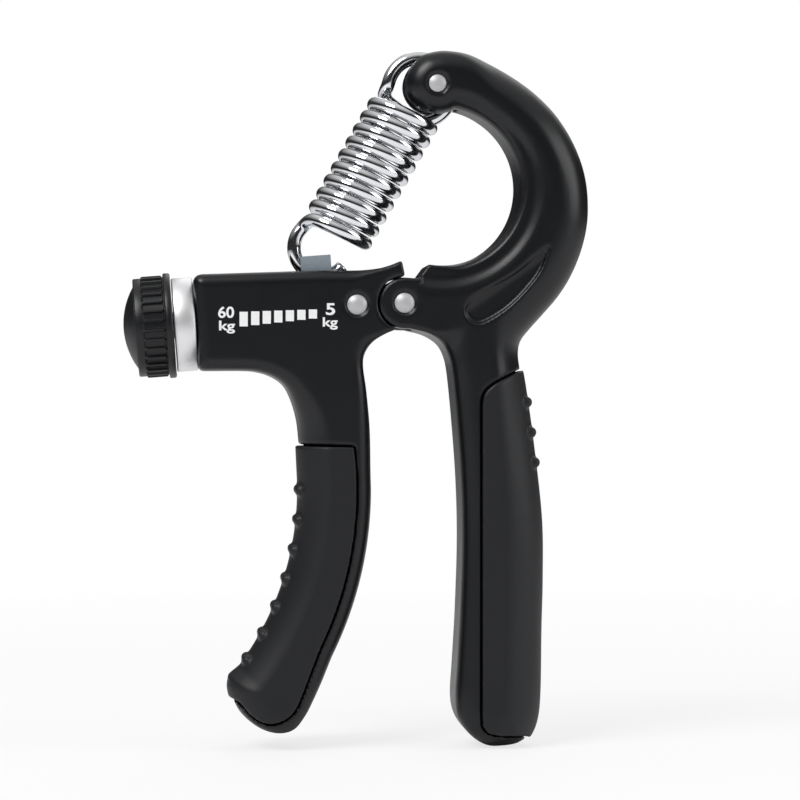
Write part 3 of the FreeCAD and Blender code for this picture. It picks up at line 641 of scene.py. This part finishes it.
neck_run = overlap(x - PIVOT[0], PIVOT[0] - NECK_LENGTH - x)
neck = overlap(neck_run, np.abs(z - PIVOT[1]) - NECK_HALF, np.abs(y) - TONGUE_HALF)
values = join(values, join(tongue, neck))
channel = overlap(np.abs(y) - CHANNEL_HALF, np.abs(above) - CHANNEL_HALF, along - CHANNEL_END)
top_slot = overlap(np.abs(y) - SLOT_HALF, -above, SLOT_START - along, along - SLOT_END)
values = cut(cut(values, channel), top_slot)
values = cut(values, pin_seat(lever_grid, BEARING_PIN, HALF_DEPTH))

# The shelf for the finger cover, which leaves a rim of plastic along the handle's inner side.
RIM_WIDTH = 3.6
finger_cover_outline = np.vstack([
    round_run(BEND_CENTRE, HANDLE_NEAR - RIM_WIDTH, 7, -26, 30),
    smooth_run([(-43.9, -24.4), (-45.8, -29.4), (-47.3, -32.8), (-49.2, -35.0), (-52.3, -36.3),
                (-55.2, -35.9), (-57.6, -34.3), (-61.6, -31.0), (-72.0, -31.0)], 5),
    [(-72.0, 27.0)],
])
finger_region = outline_distance(lever_grid, finger_cover_outline)
values = cut(values, overlap(finger_region - COVER_GROOVE, -COVER_SINK - lever_body))
finger_lever = skin("finger_lever", values.astype(np.float32), lever_low)
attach(finger_lever, "lever")
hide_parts("lever")
finger_lever.data.materials.append(body_plastic)


# The finger cover is the same rubber over the outer side of the finger handle, with seven bars. It
# stops at the plastic above it with a straight upper edge.
FINGER_BUMPS, BUMP_SINK = 7, 0.5
bump_track = HANDLE_FAR - COVER_PROUD + BUMP_SINK
values = sheet_over(lever_body, finger_region)
for index in range(FINGER_BUMPS):
    turn = -index * BUMP_PITCH / HANDLE_FAR
    bump_x = BEND_CENTRE[0] + bump_track * math.cos(turn)
    bump_z = BEND_CENTRE[1] + bump_track * math.sin(turn)
    values = with_bump(values, lever_grid, (bump_x, bump_z))
finger_cover = skin("finger_cover", values.astype(np.float32), lever_low)
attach(finger_cover, "lever")
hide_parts("finger_grip")
finger_cover.data.materials.append(grip_rubber)


# The pins and the small parts inside keep their CAD shapes: satin domed pins, nylon washers, a brass
# bush and nut, a steel washer, clip and screw, bearing blocks of the body's plastic, and the carriage,
# a zinc casting with broken edges.
finishes = {
    "pin_steel": finish("pin_steel", (0.52, 0.52, 0.53), 0.48, metallic=0.45, grain_depth=0.05),
    "washer_nylon": finish("washer_nylon", (0.02, 0.02, 0.022), 0.5),
    "bush_brass": finish("bush_brass", (0.62, 0.45, 0.18), 0.3, metallic=1.0, grain_depth=0.03),
    "screw_steel": finish("screw_steel", (0.5, 0.5, 0.51), 0.28, metallic=1.0, grain_depth=0.05),
    "carriage_zinc": finish("carriage_zinc", (0.46, 0.54, 0.60), 0.3, metallic=0.55, grain_depth=0.12),
    "body_plastic": body_plastic,
}
KEPT_NODES = {
    "pivot_pin": "pin_steel", "bearing_pin": "pin_steel", "tip_pin": "pin_steel",
    "pivot_washers": "washer_nylon", "pivot_bush": "bush_brass", "lead_nut": "bush_brass",
    "thrust_washer": "screw_steel", "retaining_clip": "screw_steel", "knob_screw": "screw_steel",
    "end_plug": "body_plastic", "inner_block": "body_plastic", "carriage": "carriage_zinc",
}
for node, look in KEPT_NODES.items():
    kept = frame["nodes"][node]
    kept.data.materials.clear()
    kept.data.materials.append(finishes[look])
EDGE_BREAK = 0.25
broken_edges = frame["nodes"]["carriage"].modifiers.new("broken_edges", "BEVEL")
broken_edges.width = EDGE_BREAK * MM
broken_edges.segments = 2
broken_edges.limit_method = "ANGLE"


# The scale is printed in white on the front cheek of the housing: seven bars that shrink along the
# adjuster's axis, with the greatest and the least force written at their ends. Each word has its
# middle, along and above the axis, and its size.
PRINT_DEPTH = 0.03
BAR_COUNT = 7
BAR_FIRST, BAR_PITCH, BAR_WIDTH = -36.56, 2.613, 1.87
BAR_TALL, BAR_LOW = 3.3, 2.05
STROKE_GAIN, LETTER_DEPTH = 0.022, 0.1
WORDS = (
    ("scale_high", "60", (-40.38, 1.83), (3.6, 2.6)),
    ("scale_high_unit", "kg", (-40.43, -1.52), (3.6, 2.9)),
    ("scale_low", "5", (-16.84, 0.81), (2.1, 2.7)),
    ("scale_low_unit", "kg", (-17.13, -2.42), (3.4, 2.8)),
)


def on_cheek(middle, offsets, depth):
    """Places on the front cheek: upright offsets from a middle given along and above the axis, and their
    height off the cheek."""
    px, pz = axis_place(*middle)
    return np.stack([px + offsets[:, 0], -HALF_DEPTH - depth, pz + offsets[:, 1]], 1) * MM


def printed(piece):
    """Prints a mark in white and lets it ride on the lever."""
    piece.data.materials.append(print_white)
    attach(piece, "lever")


print_white = finish("print_white", (0.86, 0.86, 0.86), 0.5, grain_depth=0.03)
BOX_FACES = np.array([(0, 1, 2, 3), (7, 6, 5, 4), (4, 5, 1, 0), (5, 6, 2, 1), (6, 7, 3, 2), (7, 4, 0, 3)])
bar_corners = np.array([(-0.5, -0.5), (0.5, -0.5), (0.5, 0.5), (-0.5, 0.5)] * 2)
bar_depths = np.array([PRINT_DEPTH] * 4 + [-PRINT_DEPTH] * 4)
bar_places = [
    on_cheek((BAR_FIRST + index * BAR_PITCH, 0), bar_corners * (BAR_WIDTH, bar_height), bar_depths)
    for index, bar_height in enumerate(np.linspace(BAR_TALL, BAR_LOW, BAR_COUNT))
]
bar_faces = (BOX_FACES[None] + 8 * np.arange(BAR_COUNT)[:, None, None]).reshape(-1, 4)
scale_bars = mesh_of("scale_bars", np.vstack(bar_places), bar_faces)
scale_bars.data.polygons.foreach_set("use_smooth", np.zeros(len(bar_faces), bool))
printed(scale_bars)
for name, text, middle, size in WORDS:
    letters = bpy.data.curves.new(name, "FONT")
    letters.body = text
    letters.offset = STROKE_GAIN
    letters.extrude = LETTER_DEPTH
    written = bpy.data.objects.new(name + "_text", letters)
    bpy.context.collection.objects.link(written)
    bpy.context.view_layer.update()
    evaluated = written.evaluated_get(bpy.context.evaluated_depsgraph_get())
    mesh = bpy.data.meshes.new_from_object(evaluated)
    bpy.data.objects.remove(written)
    corners = np.zeros(len(mesh.vertices) * 3, np.float32)
    mesh.vertices.foreach_get("co", corners)
    corners = corners.reshape(-1, 3).astype(float)
    share = (corners - corners.min(0)) / np.ptp(corners, 0) - 0.5
    places = on_cheek(middle, share[:, :2] * size, share[:, 2] * 2 * PRINT_DEPTH)
    mesh.vertices.foreach_set("co", places.astype(np.float32).ravel())
    mesh.update()
    word = bpy.data.objects.new(name, mesh)
    bpy.context.collection.objects.link(word)
    mesh.materials.clear()
    printed(word)


# The knob is black plastic, turned about the adjuster's axis: a thin flange beside the chrome sleeve,
# narrow ribs, a smooth band and a low dome that is a cap of its own.
KNOB_RIGHT, KNOB_LEFT, KNOB_RADIUS, KNOB_BORE = -52.9, -61.0, 11.2, 3.6
KNOB_SEAT_DEPTH = 0.35
FLANGE_RADIUS, FLANGE_LEFT, FLANGE_RIGHT, WASHER_ROOM = 12.0, -54.1, -52.45, 6.2
RIB_COUNT, RIB_HEIGHT, RIB_LEFT, SLOT_DEPTH = 32, 0.4, -59.1, 0.35
RIB_FLANK, RIB_RUNOUT, RIB_SIDES = (0.10, 0.19), 0.2, 24
CAP_RADIUS, CAP_HEIGHT, CAP_SHOULDER = 9.4, 2.8, 0.985


def tube(name, rows, loop=False):
    """A closed surface through rings of places: quads between neighbours and, unless it is a loop, a fan
    at each end. The faces are turned so that the volume they enclose is positive."""
    count, sides = rows.shape[:2]
    number = np.arange(count * sides).reshape(count, sides)
    if loop:
        number = np.vstack([number, number[:1]])
    after = np.roll(number, -1, 1)
    quads = np.stack([number[:-1], after[:-1], after[1:], number[1:]], -1).reshape(-1, 4)
    places = rows.reshape(-1, 3)
    fans = np.zeros((0, 3), int)
    if not loop:
        middle = len(places)
        places = np.vstack([places, rows[0].mean(0), rows[-1].mean(0)])
        first = np.stack([np.full(sides, middle), after[0], number[0]], -1)
        last = np.stack([np.full(sides, middle + 1), number[-1], after[-1]], -1)
        fans = np.vstack([first, last])
    triangles = np.vstack([quads[:, :3], quads[:, [0, 2, 3]], fans])
    a, b, c = (places[triangles[:, k]] for k in range(3))
    if (a * np.cross(b, c)).sum() < 0:
        quads, fans = quads[:, ::-1], fans[:, ::-1]
    return mesh_of(name, places * MM, quads, fans)


def turned(name, stations, sides, loop=False, rise=None):
    """A shape turned about the adjuster's axis from stations of (along, radius). A loop joins its last
    station to its first, as a ring does, and rise adds to the radius by station and turn."""
    stations = np.array(stations, float)
    turn = np.linspace(0, 2 * math.pi, sides, endpoint=False)
    radius = stations[:, 1:] + np.zeros(sides)
    if rise is not None:
        radius = radius + rise(stations[:, :1], turn[None])
    px, pz = axis_place(stations[:, :1] + np.zeros(sides), radius * np.cos(turn))
    rows = np.stack([px, radius * np.sin(turn), pz], -1)
    return tube(name, rows, loop)


def rib_rise(along, turn):
    """The ribs' height over the knob: steep-sided ribs with sunk slots between, stopped at both ends."""
    share = (turn * RIB_COUNT / (2 * math.pi)) % 1
    rib = 1 - smooth_step(*RIB_FLANK, np.abs(share - 0.5))
    begun = smooth_step(RIB_LEFT - RIB_RUNOUT, RIB_LEFT + RIB_RUNOUT, along)
    ended = smooth_step(FLANGE_LEFT - 0.5, FLANGE_LEFT - 0.1, along)
    return ((RIB_HEIGHT + SLOT_DEPTH) * rib - SLOT_DEPTH) * (begun * (1 - ended))


flange_stations = [
    (KNOB_RIGHT, KNOB_BORE),
    (KNOB_RIGHT, WASHER_ROOM),
    (FLANGE_RIGHT, WASHER_ROOM + 0.1),
    (FLANGE_RIGHT, FLANGE_RADIUS - 0.5),
    (FLANGE_RIGHT - 0.12, FLANGE_RADIUS - 0.15),
    (FLANGE_RIGHT - 0.4, FLANGE_RADIUS),
    (FLANGE_LEFT + 0.3, FLANGE_RADIUS),
    (FLANGE_LEFT + 0.08, FLANGE_RADIUS - 0.12),
    (FLANGE_LEFT, FLANGE_RADIUS - 0.35),
    (FLANGE_LEFT, KNOB_RADIUS),
]
rib_starts = np.linspace(FLANGE_LEFT - 0.1, FLANGE_LEFT - 0.6, 5)
rib_ends = np.linspace(RIB_LEFT + 0.3, RIB_LEFT - 0.3, 7)
rib_stations = [(place, KNOB_RADIUS) for place in (*rib_starts, *rib_ends)]
rim_stations = [
    (KNOB_LEFT + 0.3, KNOB_RADIUS),
    (KNOB_LEFT + 0.1, KNOB_RADIUS - 0.1),
    (KNOB_LEFT, KNOB_RADIUS - 0.3),
    (KNOB_LEFT, CAP_RADIUS + 0.1),
    (KNOB_LEFT + KNOB_SEAT_DEPTH, CAP_RADIUS),
    (KNOB_LEFT + KNOB_SEAT_DEPTH, KNOB_BORE),
]
knob_stations = flange_stations + rib_stations + rim_stations
knob_shell = turned("knob_shell", knob_stations, RIB_COUNT * RIB_SIDES, rise=rib_rise)
dome_ball = (CAP_RADIUS ** 2 + CAP_HEIGHT ** 2) / (2 * CAP_HEIGHT)
dome_reach = np.linspace(1, 0.002, 24) * CAP_RADIUS * CAP_SHOULDER
dome_along = KNOB_LEFT - CAP_HEIGHT + dome_ball - np.sqrt(dome_ball ** 2 - dome_reach ** 2)
dome_stations = [(KNOB_LEFT + 0.3, CAP_RADIUS - 0.3), (KNOB_LEFT - 0.1, CAP_RADIUS - 0.02)]
knob_dome = turned("knob_dome", dome_stations + list(zip(dome_along, dome_reach)), 96)
knob_plastic = finish("knob_plastic", (0.005, 0.0055, 0.0068), 0.38, grain_depth=0.15)
for piece, node in ((knob_shell, "knob"), (knob_dome, "knob_cap")):
    piece.data.materials.append(knob_plastic)
    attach(piece, "adjuster")
    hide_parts(node)


# The chrome sleeve stands between the housing and the knob, and the steel screw runs from the knob
# through the channel, with a rolled thread along all that the carriage can reach.
SLEEVE_RADIUS, SLEEVE_LEFT, SLEEVE_BORE, SLEEVE_EDGE = 10.7, -52.3, 3.4, 0.35
SCREW_RADIUS, SCREW_TAIL_RADIUS, SCREW_BORE = 3.0, 2.0, 1.6
THREAD_DEPTH, THREAD_PITCH, THREAD_FLANK, THREAD_RUNOUT = 0.75, 1.5, (0.15, 0.9), 1
SCREW_LEFT, THREAD_LEFT, THREAD_RIGHT, SCREW_RIGHT = -56.2, -52.0, -15.3, -13.4
sleeve_stations = [
    (-HOUSING_REACH, SLEEVE_BORE),
    (-HOUSING_REACH, SLEEVE_RADIUS - SLEEVE_EDGE),
    (-HOUSING_REACH - SLEEVE_EDGE, SLEEVE_RADIUS),
    (SLEEVE_LEFT + SLEEVE_EDGE, SLEEVE_RADIUS),
    (SLEEVE_LEFT + 0.1, SLEEVE_RADIUS - 0.1),
    (SLEEVE_LEFT, SLEEVE_RADIUS - SLEEVE_EDGE),
    (SLEEVE_LEFT, SLEEVE_BORE),
]
chrome_sleeve = turned("chrome_sleeve", sleeve_stations, 128, loop=True)
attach(chrome_sleeve, "lever")
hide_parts("end_sleeve")
sleeve_chrome = finish(
    "sleeve_chrome", (0.84, 0.84, 0.85), 0.46, metallic=1.0, grain_depth=0.02, drift=0.05)
chrome_sleeve.data.materials.append(sleeve_chrome)


def thread_fall(along, turn):
    """How far the thread's valley lies under its crest: a flat-topped V that winds once per pitch."""
    wave = np.abs(((along / THREAD_PITCH + turn / (2 * math.pi)) % 1) - 0.5) * 2
    begun = smooth_step(THREAD_LEFT, THREAD_LEFT + THREAD_RUNOUT, along)
    ended = smooth_step(THREAD_RIGHT - THREAD_RUNOUT, THREAD_RIGHT, along)
    return -THREAD_DEPTH * smooth_step(*THREAD_FLANK, wave) * (begun * (1 - ended))


thread_places = np.arange(THREAD_LEFT, THREAD_RIGHT, THREAD_PITCH / 12)
screw_stations = [
    (SCREW_LEFT, SCREW_BORE),
    (SCREW_LEFT, SCREW_RADIUS),
    *[(place, SCREW_RADIUS) for place in thread_places],
    (THREAD_RIGHT, SCREW_RADIUS),
    (THREAD_RIGHT, SCREW_TAIL_RADIUS),
    (SCREW_RIGHT, SCREW_TAIL_RADIUS),
]
lead_screw = turned("lead_screw", screw_stations, 40, rise=thread_fall)
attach(lead_screw, "adjuster")
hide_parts("adjust_screw")
lead_screw.data.materials.append(finishes["screw_steel"])


# The spring is one chromed wire: a loop round the tip pin, ten close turns and an open hook in the
# carriage. Its turns follow the carriage in shares that grow from none at the loop to all at the hook.
WIRE_RADIUS, WIRE_SIDES = 1.55, 20
COIL_RADIUS, COIL_COUNT, TURN_STEPS = 7.05, 10, 84
COIL_FOOT, COIL_HEAD = np.array([-37.95, 0, 74.8]), np.array([-21.2, 0, 104.2])
LOOP_RADIUS, LOOP_START, LOOP_END = 7.4, 166.0, -108.0
HOOK_CENTRE, HOOK_RADIUS, HOOK_START, HOOK_END = (-41.0, 71.7), 6.4, 138.0, 316.0
LEAVE_TURN = math.radians(48)
BRIDGE_STEPS, BRIDGE_PULL = 16, 1.15
NOSE_RADIUS, NOSE_LENGTH = 0.86, 0.35
DEPTHWARD = np.array([0.0, 1, 0])


def in_plane(centre, radius, degrees):
    """Places of a circle in the middle plane."""
    turn = np.radians(degrees)
    return np.stack([centre[0] + radius * np.cos(turn), 0 * turn, centre[1] + radius * np.sin(turn)], -1)


def bridge(start, start_way, end, end_way):
    """A cubic run of wire that leaves and arrives along two directions, without its end points."""
    t = np.linspace(0, 1, BRIDGE_STEPS + 2)[1:-1, None]
    reach = BRIDGE_PULL * np.linalg.norm(end - start)
    start_way, end_way = (way / np.linalg.norm(way) * reach for way in (start_way, end_way))
    return ((2 * t ** 3 - 3 * t ** 2 + 1) * start + (t ** 3 - 2 * t ** 2 + t) * start_way
            + (3 * t ** 2 - 2 * t ** 3) * end + (t ** 3 - t ** 2) * end_way)


run = COIL_HEAD - COIL_FOOT
upward = run / np.linalg.norm(run)
rightward = np.array([upward[2], 0, -upward[0]])
turns = np.linspace(LEAVE_TURN, 2 * math.pi * COIL_COUNT - LEAVE_TURN, TURN_STEPS * COIL_COUNT)[:, None]
coil = COIL_FOOT + run * turns / (2 * math.pi * COIL_COUNT)
coil = coil - COIL_RADIUS * (np.cos(turns) * rightward + np.sin(turns) * DEPTHWARD)
hook = in_plane(HOOK_CENTRE, HOOK_RADIUS, np.linspace(HOOK_END, HOOK_START, 48))
loop = in_plane(LOOP_CENTRE, LOOP_RADIUS, np.linspace(LOOP_START, LOOP_END, 64))
wire_path = np.vstack([
    hook,
    bridge(hook[-1], hook[-1] - hook[-2], coil[0], coil[1] - coil[0]),
    coil,
    bridge(coil[-1], coil[-1] - coil[-2], loop[0], loop[1] - loop[0]),
    loop,
])
ways = np.gradient(wire_path, axis=0)
ways /= np.linalg.norm(ways, axis=1)[:, None]
side = DEPTHWARD
rings = []
circle = np.linspace(0, 2 * math.pi, WIRE_SIDES, endpoint=False)[:, None]
for place, way in zip(wire_path, ways):
    side = side - way * (side @ way)
    side /= np.linalg.norm(side)
    rings.append(place + WIRE_RADIUS * (np.cos(circle) * side + np.sin(circle) * np.cross(way, side)))


def nose(ring, way):
    """The rounded end of the wire: its last ring, made smaller and moved on."""
    middle = ring.mean(0)
    return middle + NOSE_RADIUS * (ring - middle) + NOSE_LENGTH * way


rings = [nose(rings[0], -ways[0]), *rings, nose(rings[-1], ways[-1])]
spring_wire = tube("spring_wire", np.stack(rings))
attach(spring_wire, "frame")
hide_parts("spring")
spring_chrome = finish("spring_chrome", (0.8, 0.81, 0.83), 0.1, metallic=1.0, grain_depth=0.0, drift=0.04)
spring_wire.data.materials.append(spring_chrome)

# Each ring of the wire follows the carriage by how far down the coil it lies. The point that closes the
# hook's end follows in full, and the point that closes the loop's end stays where it is.
follow = np.clip((COIL_HEAD - wire_path) @ upward / np.linalg.norm(run), 0, 1)
follow = np.concatenate([follow[:1], follow, follow[-1:]])
stretch = spring_wire.vertex_groups.new(name="stretch")
for index, share in enumerate(follow):
    ring_points = list(range(index * WIRE_SIDES, (index + 1) * WIRE_SIDES))
    stretch.add(ring_points, float(share), "REPLACE")
stretch.add([len(follow) * WIRE_SIDES], 1.0, "REPLACE")
carriage_body = frame["bodies"]["carriage"]
pull = spring_wire.modifiers.new("pull", "HOOK")
pull.object = carriage_body
pull.vertex_group = "stretch"
pull.falloff_type = "NONE"
bpy.context.view_layer.update()
pull.matrix_inverse = carriage_body.matrix_world.inverted() @ spring_wire.matrix_world
